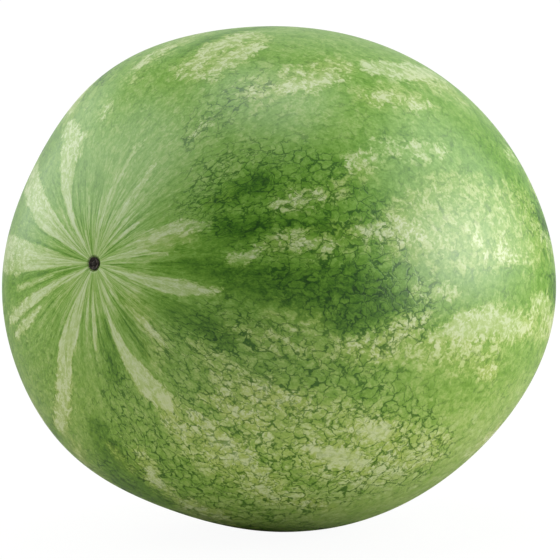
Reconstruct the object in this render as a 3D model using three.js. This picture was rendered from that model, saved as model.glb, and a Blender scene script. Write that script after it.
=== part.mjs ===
// A whole watermelon, as picked, lying on its side with its flower end towards -X and its stem end towards +X.
// The fruit is one grown body. The dried scar that the flower left sits in a small seat at one end,
// and the cut stub of the stem stands in a dimple at the other.
// Millimetres, +Z up. The origin is on the surface that the fruit lies on, under the middle of the whole model.

import * as THREE from "three";

// Driving dimensions, in millimetres. Every angle in these lists is in degrees.
const fruitLength = 294;
const fruitWidth = 250;
const flowerEndRaised = 6; // how far the long axis leans as the fruit lies
const flowerShoulder = 0.038; // how much fuller than an ellipse each half is, as a share of its radius
const stemShoulder = -0.022;
const restingFlatDepth = 1.4; // what the resting flat takes off the underside

// Broad swells and flats, as on any fruit that grew lying on the ground. Each has its place on the skin, counted
// from the flower end and then round the axis from the +Y side, its height, and how far it spreads.
const swells = [
  { name: "flat above the flower end", fromFlower: 48, round: 32, height: -2.1, spread: 22 },
  { name: "upper shoulder", fromFlower: 57, round: 61, height: 3.1, spread: 20 },
  { name: "side of the flower end", fromFlower: 46, round: 342, height: 2.4, spread: 26 },
  { name: "lower shoulder", fromFlower: 57, round: 303, height: 3.3, spread: 20 },
  { name: "flat before the belly", fromFlower: 68, round: 282, height: -1.6, spread: 20 },
  { name: "flat below the stem end", fromFlower: 116, round: 231, height: -1.5, spread: 26 },
  { name: "side of the stem end", fromFlower: 126, round: 184, height: 3.4, spread: 24 },
  { name: "back", fromFlower: 76, round: 88, height: -1, spread: 30 },
];

// Each end sinks in a dimple, with a flat-floored seat at its middle for the scar or the stub.
// The side is the way that the end faces along X.
const flowerEnd = { side: -1, dimpleDepth: 1.6, dimpleSpread: 15, seatRadius: 3.6, seatDepth: 1.1 };
const stemEnd = { side: 1, dimpleDepth: 5, dimpleSpread: 21, seatRadius: 6.8, seatDepth: 1.5 };
const seatGap = 0.3;

// The scar is a small lobed cup with a raised rim, and the dried base of the style stands in it.
const scar = { rimHeight: 1.55, rimWidth: 0.8, cupDepth: 0.8, lobes: 5, lobeDepth: 0.16 };
const style = { radius: 0.65, height: 0.5 };

// The stub is ridged, flares at its foot, and bends a little on the way to its slanting cut.
const stub = { length: 19, radius: 4, flare: 1.9, flareReach: 3.6, ridges: 5, ridgeHeight: 0.45 };
const stubBend = { offset: 3, round: 70 };
const stubCutSlope = 12;

// How finely the surfaces are divided
const fruitColumns = 72;
const fruitStep = 8;
const scarColumns = 30;
const stubColumns = 30;
const stubRings = 9;

const radians = THREE.MathUtils.degToRad;
const halfLength = fruitLength / 2;
const halfWidth = fruitWidth / 2;

const bell = (distance, spread) => Math.exp(-((distance / spread) ** 2));

// The direction at an angle from the flower end and round the long axis
function wayOut(fromFlower, round) {
  return new THREE.Vector3(
    -Math.cos(fromFlower),
    Math.sin(fromFlower) * Math.cos(round),
    Math.sin(fromFlower) * Math.sin(round),
  );
}

const swellWays = swells.map((swell) => wayOut(radians(swell.fromFlower), radians(swell.round)));

const swellHeight = (way) =>
  swells.reduce((sum, { height, spread }, i) => sum + height * bell(way.angleTo(swellWays[i]), radians(spread)), 0);

// The skin with its swells and dimples, but without the seats and the resting flat
function skin(fromFlower, round) {
  const flowerShare = (1 + Math.cos(fromFlower)) / 2;
  const shoulder = flowerShoulder * flowerShare + stemShoulder * (1 - flowerShare);
  const radius = halfWidth * Math.sin(fromFlower) * (1 + shoulder * Math.sin(2 * fromFlower) ** 2);
  const end = fromFlower < Math.PI / 2 ? flowerEnd : stemEnd;
  const x = -halfLength * Math.cos(fromFlower) - end.side * end.dimpleDepth * bell(radius, end.dimpleSpread);
  const way = wayOut(fromFlower, round);
  return new THREE.Vector3(x, radius * Math.cos(round), radius * Math.sin(round)).addScaledVector(
    way,
    swellHeight(way),
  );
}

// A ring is a list of points round the axis. A solid's rings run between the two points that close its ends.
const ring = (columns, pointAt) =>
  Array.from({ length: columns }, (_, column) => pointAt((2 * Math.PI * column) / columns));

// The rings run from the end that faces -X. For rings that run from the other end, turned is true.
function ringedSolid(firstPoint, rings, lastPoint, turned = false) {
  const columns = rings[0].length;
  const points = [firstPoint, ...rings.flat(), lastPoint];
  const at = (row, column) => 1 + row * columns + (column % columns);
  const bottomRow = rings.length - 1;
  const faces = [];
  const addFace = (a, b, c) => faces.push(a, ...(turned ? [c, b] : [b, c]));
  for (let column = 0; column < columns; column++) {
    addFace(0, at(0, column + 1), at(0, column));
    for (let row = 0; row < bottomRow; row++) {
      addFace(at(row, column), at(row + 1, column + 1), at(row + 1, column));
      addFace(at(row, column), at(row, column + 1), at(row + 1, column + 1));
    }
    addFace(at(bottomRow, column), at(bottomRow, column + 1), points.length - 1);
  }
  const geometry = new THREE.BufferGeometry().setFromPoints(points);
  geometry.setIndex(faces);
  geometry.computeVertexNormals();
  return geometry;
}

// A point at one end of the fruit: its height is counted outwards from the floor of that end's seat.
const seatFloor = (end) => halfLength - end.dimpleDepth - end.seatDepth;

const atEnd = (end) => (radius, round, height) =>
  new THREE.Vector3(end.side * (seatFloor(end) + height), radius * Math.cos(round), radius * Math.sin(round));

// Angles of the skin's rings from the flower end: close together over the dimples and even between them
function skinRingAngles() {
  const timesSeatRadius = [1, 1.35, 1.9, 2.7, 3.8, 5.2];
  const closeRings = (end) => timesSeatRadius.map((times) => Math.asin((times * end.seatRadius) / halfWidth));
  const flowerAngles = closeRings(flowerEnd);
  const stemAngles = closeRings(stemEnd).slice(0, -1);
  const first = flowerAngles.at(-1);
  const span = Math.PI - stemAngles.at(-1) - first;
  const steps = Math.round((span * (halfLength + halfWidth)) / 2 / fruitStep);
  const evenAngles = Array.from({ length: steps - 1 }, (_, i) => first + (span * (i + 1)) / steps);
  return [...flowerAngles, ...evenAngles, ...stemAngles.reverse().map((angle) => Math.PI - angle)];
}

// Down, in the fruit's own frame, where its long axis is X
const down = new THREE.Vector3(0, 0, -1).applyAxisAngle(new THREE.Vector3(0, 1, 0), -radians(flowerEndRaised));

function pressRestingFlat(points) {
  const lowest = Math.max(...points.map((point) => point.dot(down)));
  for (const point of points) {
    const past = point.dot(down) - (lowest - restingFlatDepth);
    if (past > 0) point.addScaledVector(down, -past);
  }
}

function fruitGeometry() {
  const skinRings = skinRingAngles().map((angle) => ring(fruitColumns, (round) => skin(angle, round)));
  pressRestingFlat(skinRings.flat());
  const seatFloorRing = (end) => ring(fruitColumns, (round) => atEnd(end)(0.95 * end.seatRadius, round, 0));
  return ringedSolid(
    atEnd(flowerEnd)(0, 0, 0),
    [seatFloorRing(flowerEnd), ...skinRings, seatFloorRing(stemEnd)],
    atEnd(stemEnd)(0, 0, 0),
  );
}

function scarGeometry() {
  const place = atEnd(flowerEnd);
  const outerRadius = flowerEnd.seatRadius - seatGap;
  const cupFloor = scar.rimHeight - scar.cupDepth;
  const lobed = (radius) => (round) => radius - scar.lobeDepth * (1 + Math.cos(scar.lobes * round));
  const scarRing = (radiusAt, height) => ring(scarColumns, (round) => place(radiusAt(round), round, height));
  const rings = [
    scarRing(() => style.radius, cupFloor + style.height),
    scarRing(() => style.radius * 1.4, cupFloor),
    scarRing(lobed(outerRadius - 1.6 * scar.rimWidth), cupFloor + 0.1),
    scarRing(lobed(outerRadius - scar.rimWidth), scar.rimHeight - 0.15),
    scarRing(lobed(outerRadius - 0.5 * scar.rimWidth), scar.rimHeight),
    scarRing(lobed(outerRadius - 0.1 * scar.rimWidth), scar.rimHeight - 0.25),
    scarRing(() => 0.93 * outerRadius, seatGap),
  ];
  return ringedSolid(place(0, 0, cupFloor + style.height), rings, place(0, 0, seatGap));
}

function stubGeometry() {
  const bendRound = radians(stubBend.round);
  const bendAt = (height) => stubBend.offset * (height / stub.length) ** 2;
  const bentPoint = (radius, round, height) => {
    const point = atEnd(stemEnd)(radius, round, height);
    point.y += bendAt(height) * Math.cos(bendRound);
    point.z += bendAt(height) * Math.sin(bendRound);
    return point;
  };
  const radiusAt = (height, round) =>
    stub.radius + stub.flare * bell(height, stub.flareReach) + stub.ridgeHeight * Math.cos(stub.ridges * round);
  const cutHeight = (round) =>
    stub.length - Math.tan(radians(stubCutSlope)) * stub.radius * (1 + Math.cos(round - bendRound));
  const heightAt = (share, round) => seatGap + share * (cutHeight(round) - seatGap);
  const stubRing = (share) =>
    ring(stubColumns, (round) => {
      const height = heightAt(share, round);
      return bentPoint(radiusAt(height, round) - (share === 0 ? 0.4 : 0), round, height);
    });
  const cutCentre = bentPoint(0, 0, stub.length - Math.tan(radians(stubCutSlope)) * stub.radius);
  const rings = Array.from({ length: stubRings }, (_, i) => stubRing(1 - i / (stubRings - 1)));
  return ringedSolid(cutCentre, rings, atEnd(stemEnd)(0, 0, seatGap), true);
}

function piece(name, geometry, color, roughness) {
  const mesh = new THREE.Mesh(geometry, new THREE.MeshStandardMaterial({ color, roughness, metalness: 0 }));
  mesh.name = name;
  return mesh;
}

const melon = new THREE.Group();
melon.rotation.y = radians(flowerEndRaised);
melon.add(
  piece("fruit", fruitGeometry(), "#7fa853", 0.42),
  piece("flower_scar", scarGeometry(), "#2c241b", 0.85),
  piece("stem_stub", stubGeometry(), "#8c8a55", 0.8),
);

// The model stands with its origin under the middle of its box.
const model = new THREE.Group();
model.add(melon);
const box = new THREE.Box3().setFromObject(model, true);
const middle = box.getCenter(new THREE.Vector3());
melon.position.set(-middle.x, -middle.y, -box.min.z);

export default model;
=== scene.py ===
# A whole watermelon lying on a pale studio floor, seen past its flower end.

import math
import random

import bpy
import numpy as np
from mathutils import Matrix, Vector


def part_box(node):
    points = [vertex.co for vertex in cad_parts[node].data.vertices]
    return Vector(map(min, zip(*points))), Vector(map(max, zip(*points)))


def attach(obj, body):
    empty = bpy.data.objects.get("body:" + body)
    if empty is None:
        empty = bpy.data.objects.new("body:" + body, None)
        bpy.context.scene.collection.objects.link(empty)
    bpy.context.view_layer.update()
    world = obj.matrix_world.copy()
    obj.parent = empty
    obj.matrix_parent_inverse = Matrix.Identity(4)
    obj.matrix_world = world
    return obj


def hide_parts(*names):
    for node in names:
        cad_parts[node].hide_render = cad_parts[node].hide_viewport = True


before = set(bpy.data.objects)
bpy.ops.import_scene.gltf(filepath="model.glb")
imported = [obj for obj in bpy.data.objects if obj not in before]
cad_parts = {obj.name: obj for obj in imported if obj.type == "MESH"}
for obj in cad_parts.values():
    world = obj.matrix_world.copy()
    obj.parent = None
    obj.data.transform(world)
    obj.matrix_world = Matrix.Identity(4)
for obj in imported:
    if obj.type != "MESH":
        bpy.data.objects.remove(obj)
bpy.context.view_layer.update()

random.seed(7)


# The fruit's own frame: how far along it a place is, and how far round it

melon = {
    "lean": 6,                    # degrees that the flower end is raised
    "halfLength": 0.147,          # metres, as every length here is unless its note says otherwise
    "halfWidth": 0.125,
    "scarToCentre": 0.1453,       # from the middle of the dried scar to the middle of the fruit
    "scarFootDown": 0.0006,       # from the middle of the dried scar to its foot
    "stemFootFromCentre": 0.1408,
    "degreeAlong": 2.35,          # millimetres in one degree along the skin
}

lean = math.radians(melon["lean"])
alongFruit = Vector((math.cos(lean), 0, -math.sin(lean)))   # towards the stem end
upFruit = Vector((math.sin(lean), 0, math.cos(lean)))
acrossFruit = Vector((0, 1, 0))


def middleOf(node):
    low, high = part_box(node)
    return (low + high) / 2


fruitCentre = middleOf("flower_scar") + alongFruit * melon["scarToCentre"]
scarFoot = middleOf("flower_scar") + alongFruit * melon["scarFootDown"]
stemFoot = fruitCentre + alongFruit * melon["stemFootFromCentre"]


def placesOn(mesh):
    # each vertex as degrees from the flower end, and degrees round the fruit from its far side over the top
    count = len(mesh.vertices)
    points = np.empty(count * 3)
    mesh.vertices.foreach_get("co", points)
    points = points.reshape(-1, 3) - np.array(fruitCentre)
    along = points @ np.array(alongFruit) / melon["halfLength"]
    across = points @ np.array(acrossFruit)
    up = points @ np.array(upFruit)
    fromFlower = np.degrees(np.arctan2(np.hypot(across, up) / melon["halfWidth"], -along))
    around = np.degrees(np.arctan2(up, across)) % 360
    return fromFlower, around


# Markings of the rind. Each one is a list of points along it: degrees from the flower end, degrees round
# the fruit, and half its width in degrees round the fruit.

markings = {
    # the palest: first the rays that start at the flower scar, then broken patches further along the fruit
    "pale": [
        [(1.6, 2, 5), (5, 2, 7), (12, 2, 9), (20, 2, 8.5), (30, 2, 8), (38, 2, 7), (44, 2, 4)],
        [(1.6, 31, 6), (5, 31, 7), (10, 31, 7), (16, 29, 8), (22, 29, 7.5), (28, 30, 6.5), (34, 30, 5.5),
         (40, 30, 5)],
        [(1.6, 52, 4), (5, 52, 5), (10, 50, 3), (15, 52, 3.5), (20, 54, 5.5), (25, 56, 6), (30, 58, 6.5),
         (34, 57, 5), (39, 54, 3)],
        [(1.6, 136, 3), (4, 136, 3), (8, 138, 3.2), (12, 139, 2.5), (14, 139, 1)],
        [(1.6, 166, 6), (4, 165, 5), (7, 167, 4.5), (10, 167, 4.5), (13, 167, 3), (15, 170, 1.8),
         (18, 171, 0.8)],
        [(1.6, 185, 5), (4, 186, 5.5), (7, 188, 5.5), (10, 191, 5.5), (14, 192, 5), (18, 192, 5),
         (22, 191, 4.5), (25, 190, 2.5), (27.5, 190, 1)],
        [(28, 189, 1.2), (29.5, 188, 0.8)],
        [(1.6, 214, 8), (3.5, 216, 7), (5, 222, 5), (8, 225, 4), (10, 226, 1.5)],
        [(9, 246, 1), (12, 248, 1.5), (15, 249, 3), (20, 248.5, 3.8), (24, 247, 5.2), (28, 246, 5.6),
         (31, 244.5, 4.5), (34, 244, 2.5)],
        [(1.6, 290, 5), (4, 291, 8), (8, 292, 7.5), (13, 294, 8), (17, 295, 7.5), (21, 296.5, 6),
         (26, 296, 5), (31, 296, 4.2), (36, 297, 3.2), (41, 299, 3), (45, 301, 2)],
        [(1.6, 330, 6), (4, 331, 6), (7, 333, 4.5), (11, 335, 3.5), (17, 336, 3.2), (24, 337, 3.2),
         (30, 337, 2.6), (36, 338, 1.6)],
        [(19, 329, 1), (24, 329, 2), (30, 330, 2), (35, 331, 1.2)],
        [(76.5, 124, 2.5), (80, 125, 3.8), (85, 125, 3.8), (90, 124, 3.2), (97, 123, 3), (101, 122, 2)],
        [(31, 175, 2.2), (34, 175, 2.2), (36, 172, 1.3)],
        [(73, 191.5, 1.5), (77, 190, 2), (79, 188, 3.2), (84, 188, 3.5), (90, 187, 3.2), (96, 187.5, 3),
         (101, 188, 2.5), (104, 187, 1)],
        [(66, 217, 1.5), (69, 216, 2.2), (72, 215.5, 2.8), (73.5, 216, 1.5)],
        [(60, 225, 1.2), (63, 225.5, 2.5), (67, 225, 3.4), (70, 225, 2.6), (75, 226, 1)],
    ],
    # paler than the skin, but thinner or less so than the ones above
    "faint": [
        [(5, 44, 1), (14, 44, 1.2), (17, 45, 0.6)],
        [(1.6, 66, 4), (4, 66, 3), (8, 66, 1)],
        [(26, 65, 1.5), (32, 65, 1.5)],
        [(3, 75, 1.2), (8, 75, 1.4), (15, 75, 0.8)],
        [(34, 74, 1.5), (38, 74, 1.5)],
        [(1.6, 92, 3), (4, 95, 3.5), (8, 97, 3), (14, 98, 3), (20, 99, 2), (28, 101, 1.2)],
        [(1.6, 106, 3), (5, 107, 2.5), (9, 106, 1)],
        [(4, 121, 1.8), (8, 120, 2.2), (15, 119, 3), (20, 117.5, 2), (25, 116, 1.2)],
        [(1.6, 124, 2), (4, 126, 2.5), (8, 128, 2.2), (13, 128, 1.4)],
        [(9, 155, 1.5), (13, 153, 4), (18, 155, 4), (22, 156, 3.6), (25, 158, 2.5), (27.5, 160, 1)],
        [(4, 238, 4), (7, 240, 4.5), (9.5, 241, 2)],
        [(10, 224, 1.2), (14, 223, 2), (18, 223, 2.3), (22, 224, 1.5), (24, 225, 0.8)],
        [(1.6, 262, 3), (5, 265, 3.5), (9, 267, 3.5), (13, 268, 2.8), (16, 270, 1.8), (18.5, 270, 1)],
        [(15, 287.5, 1.5), (20, 289, 0.8)],
        [(3, 318, 1.5), (8, 318, 1.6), (15, 317, 1)],
        [(3, 324, 2), (9, 324, 1.8), (14, 324, 0.8)],
        [(12, 346, 1.2), (20, 346, 1.2), (28, 347, 0.8)],
        [(46, 97, 2), (50, 97, 2.5), (57, 96, 3.5), (64, 96, 3), (68, 95, 2)],
        [(48, 105, 1.8), (52, 104, 3), (57, 104, 3.5), (61, 104, 2.5)],
        [(34, 120, 1.2), (38, 119.5, 1.8), (40, 119, 1)],
        [(56, 124, 2), (60, 125, 2.8), (66, 125, 2.5), (68, 125, 1.2)],
        [(60, 119.5, 0.9), (66, 119, 0.8)],
        [(71, 134, 1.5), (74, 134, 1.4)],
        [(79, 137, 1.1), (82, 137, 1.3), (84, 136, 0.8)],
        [(66, 147.5, 1.2), (70, 149, 2), (74, 149, 2.2), (78, 148.5, 1.6), (81, 149, 1)],
        [(55, 167.5, 1), (58, 168, 1.8), (64, 168, 2), (68, 168, 1.2)],
        [(58, 150, 1.4), (61, 150, 1.8), (63, 150, 1)],
        [(64, 147, 1.2), (67, 147, 1.4)],
        [(41, 158, 1.5), (45, 157.5, 1.6), (49, 158, 1.2)],
        [(41, 167, 1.2), (44, 168, 1.6)],
        [(43.5, 171, 1.2), (48, 171.5, 1.4), (50, 171, 0.8)],
        [(84, 170, 1), (86, 172, 1)],
        [(91, 172, 1.3), (95, 172, 1.4)],
        [(104, 182, 1.5), (108, 182, 2.5), (114, 183, 2)],
        [(68, 182, 1), (73, 181.5, 1.4), (77, 181, 1)],
        [(56, 197, 1), (60, 195, 1.2), (64, 192, 1.4), (68, 189, 1.3), (72, 188, 0.9)],
        [(62, 198, 1), (64, 197, 1.2)],
        [(91, 198, 1), (94, 198, 1)],
        [(36, 230, 1.5), (38, 228.5, 2.5), (42, 227, 2), (47, 226.5, 1.6), (49, 226, 0.9)],
        [(42, 219.5, 1.8), (46, 218, 2), (49, 216.5, 2), (52, 215, 1.2)],
        [(36, 247, 2), (40, 246, 2.5)],
        [(43, 239, 2.5), (46, 240, 5), (49, 242, 4.5), (52, 240, 2.5), (57, 240, 1.5), (61, 241, 1.5)],
        [(38, 237.5, 1.5), (44, 237, 2), (51, 237, 2)],
        [(60, 244, 1.2), (65, 245, 1.5)],
        [(71, 242, 1), (76, 242, 1.2), (78, 242, 0.8)],
        [(85, 216, 1), (88, 215.7, 1.2), (90, 215.5, 0.9)],
        [(75, 218, 0.8), (80, 222, 0.9)],
        [(85, 222, 1), (91, 221, 1)],
        [(43, 267, 2), (47, 267, 2)],
        [(42, 277, 1.5), (48, 276, 1.5)],
    ],
    # yellower skin, flecked with pale
    "lime": [
        [(28, 215, 3), (40, 222, 10), (55, 222, 12), (70, 222, 12), (80, 222, 10)],
        [(34, 244, 6), (42, 244, 9), (52, 243, 9), (62, 243, 6), (70, 243, 4)],
        [(40, 193, 3), (48, 193, 3.5), (50, 192, 2)],
        [(33, 201, 3), (45, 200, 3.5), (58, 198, 4), (66, 193, 6), (72, 194, 4), (80, 195, 4),
         (92, 195, 4)],
        [(50, 121, 5), (60, 122, 6), (70, 121, 4)],
        [(50, 100, 8), (62, 98, 8)],
        [(68, 134, 3), (76, 134, 4.5), (83, 135, 3)],
        [(88, 128, 4), (98, 129, 5)],
        [(29, 149.5, 1.5), (33, 150, 1.5)],
        [(38, 170, 3), (46, 170, 4), (55, 168, 4)],
        [(66, 168, 8), (74, 165, 11), (84, 165, 12), (92, 165, 10), (104, 165, 10)],
        [(42, 158, 3), (50, 158, 3), (60, 152, 3)],
        [(13, 160, 8), (22, 162, 6)],
        [(12, 213, 10), (24, 232, 5)],
    ],
    # the deepest green; the last one is painted shade on the lower side
    "dark": [
        [(29, 150, 3), (33, 150, 4), (40, 149, 4)],
        [(30, 162, 5), (34, 164, 4.5), (38, 163, 3)],
        [(15, 178, 3), (22, 178, 5), (30, 181, 7), (38, 184, 7), (46, 185, 8), (54, 185, 9),
         (60, 185, 6), (65, 184, 3)],
        [(15, 203, 3), (20, 205, 5), (28, 205, 6), (34, 206, 4)],
        [(42, 165, 2.5), (48, 166, 3), (54, 168, 2.5)],
        [(14, 236, 4), (22, 236, 3)],
        [(12, 255, 3), (24, 262, 6)],
        # painted shade: darkens the shaded lower side, not a band of the rind
        [(37, 280, 6), (46, 278, 9), (58, 278, 8)],
    ],
    # skin painted paler round the scar, over the top and low down: partly its own paler tone, partly
    # painted light and painted sheen where the lamps fall
    "light": [
        [(3, 200, 170), (9, 190, 120), (14, 135, 48), (24, 115, 42), (34, 102, 42), (50, 96, 48),
         (80, 98, 44), (120, 96, 36)],
        [(66, 250, 8), (85, 236, 28), (115, 232, 34)],
    ],
    # where the dark network between the skin's cells is strong
    "netted": [
        [(22, 150, 8), (28, 150, 18), (40, 160, 26), (55, 172, 26), (64, 183, 16), (68, 186, 8)],
        [(18, 225, 10), (28, 212, 22), (40, 225, 32), (60, 226, 30), (75, 226, 22), (86, 222, 10)],
        [(20, 262, 10), (40, 262, 14), (70, 262, 14), (100, 262, 10)],
        [(34, 120, 5), (50, 118, 6)],
    ],
    "endRaggedness": 0.3,       # millimetres that a mark's edge wanders at the two ends
    "raggedness": 2.4,          # the same, away from the ends
    "raggedFrom": (12, 56),     # degrees from the nearer end over which the first becomes the second
    "limeEdge": 6,              # millimetres over which a yellower mark fades
    # millimetres from a mark's edge, outside it and inside it, over which these fade
    "softEdges": {"darkMarks": ("dark", -7, 6), "netted": ("netted", -8, 8), "light": ("light", -12, 12)},
    "nearEnd": (5, 32),         # degrees from an end over which its rays give way to patches
    "rayStretch": 0.12,         # how much slower the rays' pattern changes along the fruit than round it
}


# How the rows of marks go on over the rest of the fruit. All in degrees, along the fruit or round it.
# Two numbers are the least and the most of a random draw.

scatter = {
    "rows": [3, 28, 53, 78, 101, 123, 150, 168, 189, 218, 245, 270, 297, 318, 342],
    "markedRows": (90, 262),    # rows between these are marked one by one in the lists above, as far as each "start" below
    "rowDrift": (-4, 4),
    "pale": {"start": 104, "otherStart": 44, "late": (0, 8), "end": 166, "length": (5, 16),
             "half": (1.5, 4), "aside": (-3, 3), "bend": (-3, 3), "gap": (3, 12), "limeShare": 0.7},
    "dark": {"start": 112, "otherStart": 48, "late": (-4, 10), "end": 150, "length": (10, 32),
             "half": (1.5, 4), "fromRow": 12, "aside": (-4, 4), "gap": (4, 24), "nettedShare": 0.5},
}


def draw(span):
    return random.uniform(*span)


def scatterMarks():
    # carries each row on over the rest of the fruit, as broken patches with dark ones between the rows
    marks = {"pale": [], "faint": [], "lime": [], "dark": [], "light": [], "netted": []}
    pale, dark = scatter["pale"], scatter["dark"]
    for row in scatter["rows"]:
        marked = scatter["markedRows"][0] < row < scatter["markedRows"][1]
        at = pale["start" if marked else "otherStart"] + draw(pale["late"])
        drift = draw(scatter["rowDrift"])
        while at < pale["end"]:
            length = draw(pale["length"])
            half = draw(pale["half"])
            side = row + drift + draw(pale["aside"])
            bend = draw(pale["bend"])
            kind = random.choice(["pale", "faint", "faint"])
            marks[kind].append([(at, side, half * 0.5), (at + length * 0.5, side + bend, half),
                                (at + length, side + bend * 0.5, half * 0.5)])
            if random.random() < pale["limeShare"]:
                marks["lime"].append([(at - 3, side + 3, half), (at + length + 4, side + 4, half * 1.6)])
            at += length + draw(pale["gap"])
        at = dark["start" if marked else "otherStart"] + draw(dark["late"])
        while at < dark["end"]:
            length = draw(dark["length"])
            half = draw(dark["half"])
            side = row + dark["fromRow"] + draw(dark["aside"])
            marks["dark"].append([(at, side - 1, half * 0.4), (at + length * 0.4, side, half),
                                  (at + length, side + 2, half * 0.3)])
            if random.random() < dark["nettedShare"]:
                marks["netted"].append([(at, side, 5), (at + length * 0.5, side, 10),
                                        (at + length, side, 5)])
            at += length + draw(dark["gap"])
    return marks


def reachOf(marks, fromFlower, around):
    # millimetres inside the nearest mark's edge, less than nothing outside
    degree = melon["halfWidth"] * 1000 * np.sin(np.radians(fromFlower)) * math.pi / 180
    farOff = -60.0
    best = np.full(len(fromFlower), farOff)
    for mark in marks:
        at, side, half = np.array(mark, float).T
        across = ((around - np.interp(fromFlower, at, side) + 180) % 360 - 180) * degree
        past = np.maximum(np.maximum(at[0] - fromFlower, fromFlower - at[-1]), 0) * melon["degreeAlong"]
        best = np.maximum(best, np.interp(fromFlower, at, half) * degree - np.hypot(across, past))
    return best


def setField(mesh, name, values):
    field = mesh.attributes.new(name, "FLOAT" if values.ndim == 1 else "FLOAT_VECTOR", "POINT")
    field.data.foreach_set("value" if values.ndim == 1 else "vector", values.astype(np.float32).ravel())


def smoothStep(value, start, end):
    share = np.clip((value - start) / (end - start), 0, 1)
    return share * share * (3 - 2 * share)


def markRind(rind):
    mesh = rind.data
    fromFlower, around = placesOn(mesh)
    nearestEnd = np.minimum(fromFlower, 180 - fromFlower)
    scattered = scatterMarks()
    reach = {name: reachOf(markings[name] + scattered[name], fromFlower, around) for name in scattered}
    least, most = markings["endRaggedness"], markings["raggedness"]
    wander = least + (most - least) * smoothStep(nearestEnd, *markings["raggedFrom"])
    # how many times its own wandering a place is inside a mark, as far as that matters
    setField(mesh, "paleMarks", np.clip(reach["pale"] / wander, -3, 3))
    setField(mesh, "faintMarks", np.clip(reach["faint"] / wander, -3, 3))
    setField(mesh, "allMarks", np.clip(np.maximum(reach["pale"], reach["faint"]) / wander, -3, 3))
    setField(mesh, "limeMarks", np.clip(reach["lime"] / markings["limeEdge"], -3, 3))
    for field, (name, outside, inside) in markings["softEdges"].items():
        setField(mesh, field, smoothStep(reach[name], outside, inside))
    setField(mesh, "nearEnd", 1 - smoothStep(nearestEnd, *markings["nearEnd"]))
    print("rind marked,", sum(len(markings[name] + scattered[name]) for name in scattered), "marks")
    # places on the skin rolled out flat, on which cells near the ends are drawn out into streaks
    turn = np.radians(around)
    arc = np.radians(fromFlower) * (melon["halfLength"] + melon["halfWidth"]) / 2
    width = melon["halfWidth"]
    setField(mesh, "skinPlace", np.stack([width * np.cos(turn), width * np.sin(turn), arc], -1))
    setField(mesh, "rayPlace", np.stack([width * np.cos(turn), width * np.sin(turn),
                                         arc * markings["rayStretch"]], -1))


# Materials

def linearColour(hexText):
    channels = [int(hexText[i:i + 2], 16) / 255 for i in (1, 3, 5)]
    return [c / 12.92 if c <= 0.04045 else ((c + 0.055) / 1.055) ** 2.4 for c in channels] + [1]


def addNode(tree, kind, sockets=None, **settings):
    node = tree.nodes.new(kind)
    for name, value in settings.items():
        setattr(node, name, value)
    for key, value in (sockets or {}).items():
        if isinstance(value, bpy.types.NodeSocket):
            tree.links.new(value, node.inputs[key])
        else:
            node.inputs[key].default_value = value
    return node


def newMaterial(name):
    material = bpy.data.materials.new(name)
    material.use_nodes = True
    tree = material.node_tree
    shader = tree.nodes["Principled BSDF"]
    return material, tree, shader


def setRamp(node, stops):
    elements = node.color_ramp.elements
    while len(elements) < len(stops):
        elements.new(0.5)
    for element, (at, colour) in zip(elements, stops):
        element.position = at
        element.color = linearColour(colour)


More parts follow.
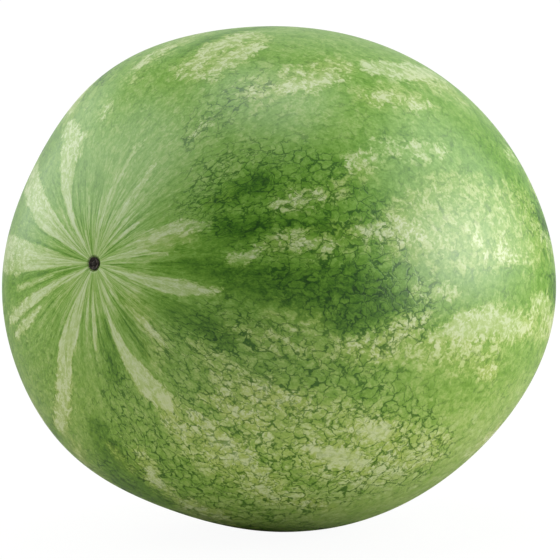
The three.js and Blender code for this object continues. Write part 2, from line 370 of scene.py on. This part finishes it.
rindLook = {
    # from the darkest green to the palest, and the same where the rind is yellower
    "tones": [(0.0, "#1a3d02"), (0.2, "#3a6c07"), (0.4, "#5f9026"), (0.55, "#76a240"),
              (0.7, "#90b060"), (0.85, "#a8be82"), (1.0, "#bacb9d")],
    "yellowTones": [(0.0, "#233f02"), (0.2, "#496e07"), (0.4, "#739326"), (0.55, "#8ca63f"),
                    (0.7, "#a3b557"), (0.85, "#b3c176"), (1.0, "#c1ca95")],
    "network": "#84a95c",       # what the fine dark network between the skin's cells takes off
    # name: the place it is laid on, its size in metres, detail and roughness
    "noises": {
        "fine": ("skinPlace", 0.0013, 3, 0.65),
        "mottle": ("skinPlace", 0.006, 3, 0.6),
        "shown": ("skinPlace", 0.007, 2, 0.6),
        "broad": ("objectPlace", 0.03, 2, 0.5),
        "lumps": ("objectPlace", 0.008, 3, 0.5),
        "rays": ("rayPlace", 0.008, 2, 0.6),
        "fineRays": ("rayPlace", 0.0035, 2, 0.6),
    },
    # size of a noise and how far it moves the cells, so that their edges waver
    "wavering": [(0.012, 0.012), (0.003, 0.0026)],
    # name: the place the cells are laid on, and their size in metres
    "cellTones": {"cell": ("skinPlace", 0.0063), "smallCell": ("skinPlace", 0.0037),
                  "speck": ("skinPlace", 0.0021)},
    "cellEdges": {"cellEdge": ("skinPlace", 0.0063), "smallCellEdge": ("skinPlace", 0.0037),
                  "rayEdge": ("rayPlace", 0.02)},
    # name: a start, what is added to it by which share, and between which two values it is softened to
    # 0 to 1. The first ones are in millimetres: half a line's width, less the distance to its cell's edge.
    "layers": {
        "cellLines": (-0.65, {"shown": 1.85, "netted": 0.15, "cellEdge": -1}, (-0.1, 0.55)),
        "smallLines": (0.44, {"shown": -1.3, "netted": 0.42, "smallCellEdge": -1}, (-0.1, 0.45)),
        "rayLines": (1.2, {"rays": 1.6, "rayEdge": -1}, (0, 2)),
        "beside": (1.7, {"cellEdge": -1}, (0, 1.4)),
        # the marks' edges follow the cells, and break up into flecks away from the ends
        "ragged": (-2.0, {"cell": 0.2, "smallCell": 0.4, "speck": 0.5, "mottle": 2.2, "fine": 0.7}, None),
        "pale": (0, {"paleMarks": 1, "ragged": 1}, (-1, 1.2)),
        "faint": (0, {"faintMarks": 1, "ragged": 1}, (-1.2, 1.4)),
        "halo": (0, {"allMarks": 1, "ragged": 1}, (-1.9, 0.2)),
        "lime": (-1.7, {"limeMarks": 1, "mottle": 2.2, "cell": 0.3, "smallCell": 0.5}, (-1, 1)),
        "dark": (-2.85, {"darkMarks": 1.9, "mottle": 2.8, "broad": 0.8, "cell": 0.5}, (-0.2, 1.1)),
        "fleckTone": (0, {"smallCell": 0.3, "speck": 0.5, "fine": 0.9, "mottle": 0.8}, (1.2, 1.5)),
        "fleckShare": (0.15, {"lime": 0.5, "halo": 0.5, "nearEnd": -1}, (0, 1)),
        "streakTone": (-1.0, {"rays": 1.1, "fineRays": 0.9}, None),
        # lowDown: the lower part, yellower as the side the fruit lay on as it grew, and lighter as painted
        # light from the table below
        "lowDown": (0.17, {"height": -1}, (0, 0.13)),
        "lineShare": (0.45, {"netted": 0.5, "pale": -0.6, "faint": -0.25, "nearEnd": -0.75}, (0, 1)),
        "bothLines": (0, {"cellLines": 1, "smallLines": 0.8}, (0, 1)),
    },
    # name: two layers that are multiplied
    "products": {
        "flecks": ("fleckTone", "fleckShare"),
        "streaks": ("streakTone", "nearEnd"),
        "veins": ("rayLines", "nearEnd"),
        "network": ("bothLines", "lineShare"),
        "lowMarks": ("lowDown", "halo"),
        # topMarks: the pale halo where the painted light of "light" lies, toned down again
        "topMarks": ("light", "halo"),
    },
    # what the green's tone, the yellowness, the gloss and the relief are made up of: a start and the shares
    # the shares of "light" and "lowDown" lighten the tone over the top, round the scar and low down:
    # painted light and sheen, besides the skin's own paler tone
    "tone": (-0.105, {"cell": 0.05, "smallCell": 0.1, "speck": 0.12, "fine": 0.45, "mottle": 0.28,
                      "broad": 0.16, "lime": 0.1, "light": 0.1, "dark": -0.23, "halo": 0.05,
                      "faint": 0.18, "pale": 0.28, "flecks": 0.2, "streaks": 0.66, "veins": -0.27,
                      "nearEnd": 0.17, "beside": -0.05, "lowDown": 0.13, "lowMarks": -0.07,
                      "topMarks": -0.08}),
    "yellow": (-0.1, {"lowDown": 0.52, "lowMarks": 0.35, "lime": 0.25, "flecks": 0.15, "mottle": 0.25}),
    "gloss": (0.31, {"mottle": 0.1}),
    "relief": (0.0, {"network": -0.25, "lumps": 1.0}),
    "reliefStrength": 0.25,
    "reliefHeight": 0.0006,
    "waxIor": 1.5,
}


def weigh(tree, layers, start, shares, edges=None):
    # adds up layers by their shares, and may soften the sum to 0 to 1 between two values
    total = start
    for name, share in shares.items():
        total = addNode(tree, "ShaderNodeMath", {0: layers[name], 1: share, 2: total},
                        operation="MULTIPLY_ADD").outputs[0]
    if edges:
        total = addNode(tree, "ShaderNodeMapRange", {
            "Value": total, "From Min": edges[0], "From Max": edges[1]},
            interpolation_type="SMOOTHSTEP").outputs[0]
    return total


def waver(tree, place):
    # moves a place about by one noise after another
    for size, amount in rindLook["wavering"]:
        swirl = addNode(tree, "ShaderNodeTexNoise", {
            "Vector": place, "Scale": 1 / size, "Detail": 3, "Roughness": 0.65}).outputs["Color"]
        centred = addNode(tree, "ShaderNodeVectorMath", {0: swirl, 1: (0.5, 0.5, 0.5)},
                          operation="SUBTRACT").outputs[0]
        place = addNode(tree, "ShaderNodeVectorMath", {0: centred, 1: (amount, amount, amount), 2: place},
                        operation="MULTIPLY_ADD").outputs[0]
    return place


def rindLayers(tree):
    # all that varies over the rind, by name: its marks, its noises, its cells, and what they make up
    look = rindLook
    objectPlace = addNode(tree, "ShaderNodeTexCoord").outputs["Object"]
    places = {"objectPlace": objectPlace}
    for name in ("skinPlace", "rayPlace"):
        places[name] = addNode(tree, "ShaderNodeAttribute", attribute_name=name).outputs["Vector"]
    layers = {"height": addNode(tree, "ShaderNodeSeparateXYZ", {0: objectPlace}).outputs[2]}
    for name in ("paleMarks", "faintMarks", "allMarks", "limeMarks", "darkMarks", "light", "netted",
                 "nearEnd"):
        layers[name] = addNode(tree, "ShaderNodeAttribute", attribute_name=name).outputs["Fac"]
    for name, (place, size, detail, roughness) in look["noises"].items():
        layers[name] = addNode(tree, "ShaderNodeTexNoise", {
            "Vector": places[place], "Scale": 1 / size, "Detail": detail,
            "Roughness": roughness}).outputs[0]
    wavering = {name: waver(tree, places[name]) for name in ("skinPlace", "rayPlace")}
    for name, (place, size) in look["cellTones"].items():
        colour = addNode(tree, "ShaderNodeTexVoronoi", {
            "Vector": wavering[place], "Scale": 1 / size}).outputs["Color"]
        layers[name] = addNode(tree, "ShaderNodeSeparateColor", {0: colour}).outputs[0]
    for name, (place, size) in look["cellEdges"].items():
        distance = addNode(tree, "ShaderNodeTexVoronoi", {"Vector": wavering[place], "Scale": 1 / size},
                           feature="DISTANCE_TO_EDGE").outputs["Distance"]
        layers[name] = addNode(tree, "ShaderNodeMath", {0: distance, 1: size * 1000},
                               operation="MULTIPLY").outputs[0]
    for name, recipe in look["layers"].items():
        layers[name] = weigh(tree, layers, *recipe)
    for name, (first, second) in look["products"].items():
        layers[name] = addNode(tree, "ShaderNodeMath", {0: layers[first], 1: layers[second]},
                               operation="MULTIPLY").outputs[0]
    return layers


def waxyRind():
    # a watermelon's rind: smooth skin under a thin wax, which gives a broad soft shine over mottled green
    look = rindLook
    material, tree, shader = newMaterial("waxyRind")
    layers = rindLayers(tree)
    tone = weigh(tree, layers, *look["tone"])
    tones = addNode(tree, "ShaderNodeValToRGB", {0: tone})
    setRamp(tones, look["tones"])
    yellowTones = addNode(tree, "ShaderNodeValToRGB", {0: tone})
    setRamp(yellowTones, look["yellowTones"])
    yellowed = addNode(tree, "ShaderNodeMix", {
        "Factor": weigh(tree, layers, *look["yellow"]), 6: tones.outputs[0], 7: yellowTones.outputs[0]},
        data_type="RGBA").outputs[2]
    netted = addNode(tree, "ShaderNodeMix", {
        "Factor": layers["network"], 6: yellowed, 7: linearColour(look["network"])},
        data_type="RGBA", blend_type="MULTIPLY").outputs[2]
    tree.links.new(netted, shader.inputs["Base Color"])
    tree.links.new(weigh(tree, layers, *look["gloss"]), shader.inputs["Roughness"])
    shader.inputs["IOR"].default_value = look["waxIor"]
    bump = addNode(tree, "ShaderNodeBump", {
        "Strength": look["reliefStrength"], "Distance": look["reliefHeight"],
        "Height": weigh(tree, layers, *look["relief"])})
    tree.links.new(bump.outputs[0], shader.inputs["Normal"])
    return material


scarLook = {
    # from black through brown to grey; the grey flecks are painted highlights
    "tissue": [(0.3, "#100d09"), (0.5, "#2a241a"), (0.62, "#4a4238"), (0.75, "#77706a")],
    "clumpSize": 0.0011,
    "gritSize": 0.0003,
    "gritStrength": 0.6,
    "gritHeight": 0.0002,
    "roughness": 0.7,
    "ior": 1.45,
}


def darkenedScar():
    # dead flower tissue: nearly black and dry, mottled brown by a noise, with grey flecks that are painted
    # highlights
    look = scarLook
    material, tree, shader = newMaterial("darkenedScar")
    place = addNode(tree, "ShaderNodeTexCoord").outputs["Object"]
    clumps = addNode(tree, "ShaderNodeTexNoise", {
        "Vector": place, "Scale": 1 / look["clumpSize"], "Detail": 3.0}).outputs[0]
    grit = addNode(tree, "ShaderNodeTexNoise", {
        "Vector": place, "Scale": 1 / look["gritSize"], "Detail": 3.0}).outputs[0]
    tissue = addNode(tree, "ShaderNodeValToRGB", {0: clumps})
    setRamp(tissue, look["tissue"])
    tree.links.new(tissue.outputs[0], shader.inputs["Base Color"])
    shader.inputs["Roughness"].default_value = look["roughness"]
    shader.inputs["IOR"].default_value = look["ior"]
    bump = addNode(tree, "ShaderNodeBump", {
        "Strength": look["gritStrength"], "Distance": look["gritHeight"], "Height": grit})
    tree.links.new(bump.outputs[0], shader.inputs["Normal"])
    return material


stalkLook = {
    # fibre tones from dark to pale; the dark end falls in the furrows as painted shade
    "fibres": [(0.3, "#4f4f2a"), (0.45, "#7b7c45"), (0.6, "#a09c66"), (0.75, "#c2ba8c")],
    "fibreWidth": 0.0008,
    "fibreStretch": 0.12,     # how much slower the fibres change along the stalk than across it
    "furrowStrength": 0.7,
    "furrowDepth": 0.0004,
    "dried": "#8a7148",
    "driedPatchSize": 0.004,
    "driedBetween": (0.45, 0.65),    # how the patches' noise turns into dryness
    "foot": "#6b5536",
    "corkShare": 0.8,
    "corkBetween": (0.0005, 0.004),  # the heights between which the cork at the foot gives way
    "roughness": 0.75,
    "ior": 1.45,
}


def driedStalk():
    # a cut vine stalk: green fibres that have dried to straw and corky at the foot; the noise that cuts the
    # furrows also colours them darker, painted shade in the furrows
    look = stalkLook
    material, tree, shader = newMaterial("driedStalk")
    place = addNode(tree, "ShaderNodeTexCoord").outputs["Object"]
    upright = addNode(tree, "ShaderNodeMapping", {
        "Vector": place, "Location": stemFoot, "Rotation": (0, math.radians(90 + melon["lean"]), 0)},
        vector_type="TEXTURE").outputs[0]
    stretched = addNode(tree, "ShaderNodeVectorMath", {0: upright, 1: (1, 1, look["fibreStretch"])},
                        operation="MULTIPLY").outputs[0]
    height = addNode(tree, "ShaderNodeSeparateXYZ", {0: upright}).outputs[2]
    fibres = addNode(tree, "ShaderNodeTexNoise", {
        "Vector": stretched, "Scale": 1 / look["fibreWidth"], "Detail": 3.0}).outputs[0]
    patches = addNode(tree, "ShaderNodeTexNoise", {
        "Vector": place, "Scale": 1 / look["driedPatchSize"], "Detail": 2.0}).outputs[0]
    dryFrom, dryTo = look["driedBetween"]
    dryness = addNode(tree, "ShaderNodeMapRange", {
        "Value": patches, "From Min": dryFrom, "From Max": dryTo}).outputs[0]
    corkFrom, corkTo = look["corkBetween"]
    cork = addNode(tree, "ShaderNodeMapRange", {
        "Value": height, "From Min": corkFrom, "From Max": corkTo,
        "To Min": look["corkShare"], "To Max": 0.0}).outputs[0]
    stalk = addNode(tree, "ShaderNodeValToRGB", {0: fibres})
    setRamp(stalk, look["fibres"])
    drying = addNode(tree, "ShaderNodeMix", {
        "Factor": dryness, 6: stalk.outputs[0], 7: linearColour(look["dried"])},
        data_type="RGBA").outputs[2]
    corky = addNode(tree, "ShaderNodeMix", {
        "Factor": cork, 6: drying, 7: linearColour(look["foot"])}, data_type="RGBA").outputs[2]
    tree.links.new(corky, shader.inputs["Base Color"])
    shader.inputs["Roughness"].default_value = look["roughness"]
    shader.inputs["IOR"].default_value = look["ior"]
    bump = addNode(tree, "ShaderNodeBump", {
        "Strength": look["furrowStrength"], "Distance": look["furrowDepth"], "Height": fibres})
    tree.links.new(bump.outputs[0], shader.inputs["Normal"])
    return material


pithLook = {
    # the darkest tone lies in the pores' pits: painted shade
    "pores": [(0.05, "#8f7c54"), (0.3, "#b3a377"), (0.6, "#d0c498")],
    "poreSize": 0.0004,
    "poreStrength": 0.5,
    "poreDepth": 0.0002,
    "drySize": 0.0016,        # of the patches where it has dried darker
    "roughness": 0.85,
    "ior": 1.45,
}


def cutPith():
    # the cut end of the stalk: pale spongy pith that dries unevenly, darkest in its pores as painted shade
    # in the pits
    look = pithLook
    material, tree, shader = newMaterial("cutPith")
    place = addNode(tree, "ShaderNodeTexCoord").outputs["Object"]
    pores = addNode(tree, "ShaderNodeTexVoronoi", {
        "Vector": place, "Scale": 1 / look["poreSize"]}).outputs["Distance"]
    patches = addNode(tree, "ShaderNodeTexNoise", {
        "Vector": place, "Scale": 1 / look["drySize"], "Detail": 3.0}).outputs[0]
    pale = addNode(tree, "ShaderNodeMath", {0: pores, 1: patches}, operation="MULTIPLY").outputs[0]
    pith = addNode(tree, "ShaderNodeValToRGB", {0: pale})
    setRamp(pith, look["pores"])
    tree.links.new(pith.outputs[0], shader.inputs["Base Color"])
    shader.inputs["Roughness"].default_value = look["roughness"]
    shader.inputs["IOR"].default_value = look["ior"]
    bump = addNode(tree, "ShaderNodeBump", {
        "Strength": look["poreStrength"], "Distance": look["poreDepth"], "Height": pores})
    tree.links.new(bump.outputs[0], shader.inputs["Normal"])
    return material


# Pieces

def deselectAll():
    bpy.ops.object.select_all(action="DESELECT")


rindShape = {
    "mergeWithin": 0.00002,   # closes the solid's loose triangles up into one skin
    "smoothness": 2,          # times that each face is divided
}


def modelRind():
    shape = rindShape
    deselectAll()
    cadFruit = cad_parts["fruit"]
    rind = cadFruit.copy()
    rind.data = cadFruit.data.copy()
    rind.parent = None
    rind.name = "rind"
    for key in list(rind.keys()):
        del rind[key]
    rind.data.materials.clear()
    bpy.context.scene.collection.objects.link(rind)
    bpy.context.view_layer.objects.active = rind
    rind.select_set(True)
    bpy.ops.object.mode_set(mode="EDIT")
    bpy.ops.mesh.select_all(action="SELECT")
    bpy.ops.mesh.remove_doubles(threshold=shape["mergeWithin"])
    bpy.ops.mesh.tris_convert_to_quads()
    bpy.ops.mesh.select_all(action="DESELECT")
    bpy.ops.object.mode_set(mode="OBJECT")
    smooth = rind.modifiers.new("smoothSkin", "SUBSURF")
    smooth.levels = shape["smoothness"]
    smooth.render_levels = shape["smoothness"]
    bpy.ops.object.modifier_apply(modifier=smooth.name)
    bpy.ops.object.shade_smooth()
    markRind(rind)
    rind.data.materials.append(waxyRind())
    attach(rind, "root")
    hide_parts("fruit")
    print("rind modelled,", len(rind.data.polygons), "faces")


def startDisc(name, columns, radius):
    deselectAll()
    bpy.ops.mesh.primitive_circle_add(vertices=columns, radius=radius, fill_type="NGON")
    disc = bpy.context.object
    disc.name = name
    bpy.ops.object.mode_set(mode="EDIT")
    bpy.ops.mesh.select_all(action="SELECT")
    return disc


def raiseRing(height, grow=1.0, sideways=(0, 0)):
    # a new ring above the last one
    bpy.ops.mesh.extrude_region_move(TRANSFORM_OT_translate={"value": (sideways[0], sideways[1], height)})
    bpy.ops.transform.resize(value=(grow, grow, 1))


def stepIn(inwards, height):
    # a new ring inside the last one
    bpy.ops.mesh.inset(thickness=inwards)
    bpy.ops.transform.translate(value=(0, 0, height))


def roughen(piece, name, size, strength):
    grain = bpy.data.textures.new(name, "CLOUDS")
    grain.noise_scale = size
    grain.noise_depth = 2
    lumps = piece.modifiers.new(name, "DISPLACE")
    lumps.texture = grain
    lumps.texture_coords = "LOCAL"
    lumps.strength = strength
    lumps.mid_level = 0.5
    bpy.ops.object.modifier_apply(modifier=name)


def standOn(piece, foot, across, up, out):
    # turns a piece that was modelled upright at the origin onto its end of the fruit
    turn = Matrix((across, up, out)).transposed().to_4x4()
    piece.matrix_world = Matrix.Translation(foot) @ turn
    bpy.ops.object.transform_apply(location=True, rotation=True, scale=True)


def finishPiece(piece, levels):
    bpy.ops.mesh.select_all(action="SELECT")
    bpy.ops.mesh.normals_make_consistent(inside=False)
    bpy.ops.object.mode_set(mode="OBJECT")
    smooth = piece.modifiers.new("smooth", "SUBSURF")
    smooth.levels = levels
    smooth.render_levels = levels
    bpy.ops.object.modifier_apply(modifier=smooth.name)
    bpy.ops.object.shade_smooth()


scarShape = {
    "columns": 30,
    "radius": 0.0029,
    "wall": 0.0009,           # height of the cup's outside below its rim
    "flare": 1.05,
    # from the rim to the middle of the cup: how far each ring steps in and how far it rises
    "steps": [(0.0002, 0.0002), (0.00035, 0), (0.0004, -0.00054), (0.0005, -0.00027), (0.0003, 0.0001)],
    "styleHeight": 0.0006,
    "styleTaper": 0.8,
    "unevenness": 0.00022,
    "smoothness": 3,
    # size and height of the lumps
    "lumps": (0.0011, 0.0006),
    "grit": (0.0004, 0.0003),
}


def modelFlowerScar():
    shape = scarShape
    scar = startDisc("flowerScar", shape["columns"], shape["radius"])
    raiseRing(shape["wall"], shape["flare"])
    for inwards, rise in shape["steps"]:
        stepIn(inwards, rise)
    raiseRing(shape["styleHeight"], shape["styleTaper"])
    bpy.ops.mesh.poke()
    bpy.ops.mesh.select_all(action="SELECT")
    bpy.ops.transform.vertex_random(offset=shape["unevenness"], seed=4)
    finishPiece(scar, shape["smoothness"])
    roughen(scar, "scarLumps", *shape["lumps"])
    roughen(scar, "scarGrit", *shape["grit"])
    standOn(scar, scarFoot, acrossFruit, -upFruit, -alongFruit)
    scar.data.materials.append(darkenedScar())
    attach(scar, "root")
    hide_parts("flower_scar")
    print("flower scar modelled,", len(scar.data.polygons), "faces")


stubShape = {
    "columns": 30,
    "rings": 9,
    "footRings": (1, 2, 3),     # the rings over which the foot narrows to the stalk
    "footRadius": 0.0058,
    "radius": 0.0041,
    "length": 0.0187,
    "ridges": 5,
    "ridgeHeight": 0.0005,
    "bend": (0.0010, 0.0028),   # how far the cut end leans, across the fruit and up it
    "cutSlope": 12,             # degrees
    # over the cut, from its edge: how far each ring steps in and how far it rises
    "cutSteps": [(0.0003, 0), (0.0005, 0.0001), (0.0008, -0.0004), (0.0012, -0.0002)],
    "unevenness": 0.00012,
    "smoothness": 2,
    "lumps": (0.0025, 0.0005),  # size and height
    "pithFrom": 0.9,            # share of the length past which a face that looks outwards is pith
}


def modelStemStub():
    shape = stubShape
    stub = startDisc("stemStub", shape["columns"], shape["footRadius"])
    rings = shape["rings"]
    neck = (shape["radius"] / shape["footRadius"]) ** (1 / len(shape["footRings"]))
    for ring in range(rings):
        rise = (0.25 if ring == 0 else 1.1) * shape["length"] / rings    # the foot's ring is low
        share = 2 * (ring + 0.5) / rings ** 2    # of the bend, which grows towards the cut
        sideways = (shape["bend"][0] * share, shape["bend"][1] * share)
        raiseRing(rise, neck if ring in shape["footRings"] else 1.0, sideways)
    top = max(vertex.co.z for vertex in editedVertices(stub))
    bpy.ops.transform.rotate(value=math.radians(shape["cutSlope"]), orient_axis="X",
                             center_override=(shape["bend"][0], shape["bend"][1], top))
    for inwards, rise in shape["cutSteps"]:
        stepIn(inwards, rise)
    bpy.ops.mesh.poke()
    selectRidges(stub)
    bpy.ops.transform.shrink_fatten(value=shape["ridgeHeight"])
    bpy.ops.mesh.select_all(action="SELECT")
    bpy.ops.transform.vertex_random(offset=shape["unevenness"], seed=9)
    finishPiece(stub, shape["smoothness"])
    roughen(stub, "stubLumps", *shape["lumps"])
    standOn(stub, stemFoot, acrossFruit, upFruit, alongFruit)
    stub.data.materials.append(driedStalk())
    stub.data.materials.append(cutPith())
    for face in stub.data.polygons:
        atCut = (face.center - stemFoot).dot(alongFruit) > shape["length"] * shape["pithFrom"]
        face.material_index = 1 if atCut and face.normal.dot(alongFruit) > 0.8 else 0
    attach(stub, "root")
    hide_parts("stem_stub")
    print("stem stub modelled,", len(stub.data.polygons), "faces")


def editedVertices(piece):
    piece.update_from_editmode()
    return piece.data.vertices


def selectRidges(stub):
    # the columns of vertices that stand out as ridges down the stalk
    bpy.ops.mesh.select_all(action="DESELECT")
    bpy.ops.object.mode_set(mode="OBJECT")
    for vertex in stub.data.vertices:
        share = min(1, vertex.co.z / stubShape["length"])
        x = vertex.co.x - stubShape["bend"][0] * share ** 2
        y = vertex.co.y - stubShape["bend"][1] * share ** 2
        onWall = math.hypot(x, y) > stubShape["radius"] * 0.85
        vertex.select = onWall and math.cos(stubShape["ridges"] * math.atan2(y, x)) > 0.4
    bpy.ops.object.mode_set(mode="EDIT")
    bpy.ops.mesh.select_mode(type="VERT")


modelRind()
modelFlowerScar()
modelStemStub()


# Studio

studio = {
    "air": 0.05,            # how much light comes from all round
    "white": 1.02,          # how bright the camera sees the white air and table, a little overexposed
    "boxes": {
        # name: direction from the fruit, distance, size, power
        "rightBox": ((0.66, -0.62, 0.42), 1.2, 1.1, 9.8),
        "lowRightBox": ((0.5, -0.8, 0.06), 1.2, 0.8, 10),
        "leftBox": ((-0.57, 0.49, 0.65), 1.2, 1.05, 9.5),
        "backLeftBox": ((-0.08, 0.94, 0.37), 1.2, 0.8, 4),
        "topBox": ((0.03, -0.06, 1), 1.2, 0.8, 6.5),
        "frontBox": ((-0.75, -0.65, 0.1), 1.2, 2, 1.2),
        "backdrop": ((0.8, 0.6, 0.3), 1.2, 1.6, 4.5),
    },
    "tableSize": 12,
    "table": "#fafaf8",
    "tableMirrored": "#909090",  # its colour to glossy rays, so that the rind's lower half stays deep
    "tableRoughness": 0.9,
    "tableGlow": 0.93,      # how white the table shows under the fruit; 1 would leave no shadow
    "glowFades": (0.1, 0.5),     # metres from the middle over which the glow becomes full white
    "azimuth": -53.15,
    "elevation": 4,
    "distance": 1.5,
    "lens": 195.45,
    "sensor": 36,
    "shift": (-0.0082, -0.0017),
    "farthest": 60,
}


def paintFloor():
    # a white table, overexposed as in a product photo: it shows nearly white and still catches soft shadows
    material, tree, shader = newMaterial("whiteTable")
    paths = addNode(tree, "ShaderNodeLightPath")
    shade = addNode(tree, "ShaderNodeMix", {
        "Factor": paths.outputs["Is Glossy Ray"], 6: linearColour(studio["table"]),
        7: linearColour(studio["tableMirrored"])}, data_type="RGBA").outputs[2]
    tree.links.new(shade, shader.inputs["Base Color"])
    shader.inputs["Roughness"].default_value = studio["tableRoughness"]
    place = addNode(tree, "ShaderNodeTexCoord").outputs["Object"]
    away = addNode(tree, "ShaderNodeVectorMath", {0: place}, operation="LENGTH").outputs["Value"]
    near, far = studio["glowFades"]
    fading = addNode(tree, "ShaderNodeMapRange", {
        "Value": away, "From Min": near, "From Max": far, "To Min": studio["tableGlow"],
        "To Max": 1.0}).outputs[0]
    share = addNode(tree, "ShaderNodeMath", {0: paths.outputs["Is Camera Ray"], 1: fading},
                    operation="MULTIPLY").outputs[0]
    glow = addNode(tree, "ShaderNodeEmission", {
        "Color": linearColour("#ffffff"), "Strength": studio["white"]}).outputs[0]
    mixed = addNode(tree, "ShaderNodeMixShader", {0: share, 1: shader.outputs[0], 2: glow}).outputs[0]
    tree.links.new(mixed, tree.nodes["Material Output"].inputs["Surface"])
    return material


def layFloor():
    deselectAll()
    bpy.ops.mesh.primitive_plane_add(size=studio["tableSize"], location=(0, 0, 0))
    floor = bpy.context.object
    floor.name = "studioFloor"
    floor.data.materials.append(paintFloor())


def addSoftbox(name, direction, distance, size, power):
    light = bpy.data.lights.new(name, "AREA")
    light.shape = "SQUARE"
    light.size = size
    light.energy = power
    lamp = bpy.data.objects.new(name, light)
    lamp.visible_camera = False
    bpy.context.scene.collection.objects.link(lamp)
    way = Vector(direction).normalized()
    lamp.location = fruitCentre + way * distance
    lamp.rotation_euler = (-way).to_track_quat("-Z", "Y").to_euler()


def lightStudio():
    world = bpy.data.worlds.new("studioAir")
    world.use_nodes = True
    bpy.context.scene.world = world
    tree = world.node_tree
    shown = addNode(tree, "ShaderNodeLightPath").outputs["Is Camera Ray"]
    strength = addNode(tree, "ShaderNodeMapRange", {
        "Value": shown, "To Min": studio["air"], "To Max": studio["white"]}).outputs[0]
    background = tree.nodes["Background"]
    background.inputs["Color"].default_value = linearColour("#ffffff")
    tree.links.new(strength, background.inputs["Strength"])
    for name, settings in studio["boxes"].items():
        addSoftbox(name, *settings)
    bpy.context.scene.view_settings.view_transform = "Standard"
    print("studio lit,", len(studio["boxes"]), "softboxes")


def placeCamera():
    turn = math.radians(studio["azimuth"])
    rise = math.radians(studio["elevation"])
    back = Vector((math.sin(turn) * math.cos(rise), -math.cos(turn) * math.cos(rise), math.sin(rise)))
    camera = bpy.data.objects.new("camera", bpy.data.cameras.new("camera"))
    bpy.context.scene.collection.objects.link(camera)
    camera.location = fruitCentre + back * studio["distance"]
    camera.rotation_euler = (-back).to_track_quat("-Z", "Y").to_euler()
    camera.data.sensor_width = studio["sensor"]
    camera.data.lens = studio["lens"]
    camera.data.shift_x, camera.data.shift_y = studio["shift"]
    camera.data.clip_end = studio["farthest"]
    bpy.context.scene.camera = camera
    print("camera placed")


layFloor()
lightStudio()
placeCamera()
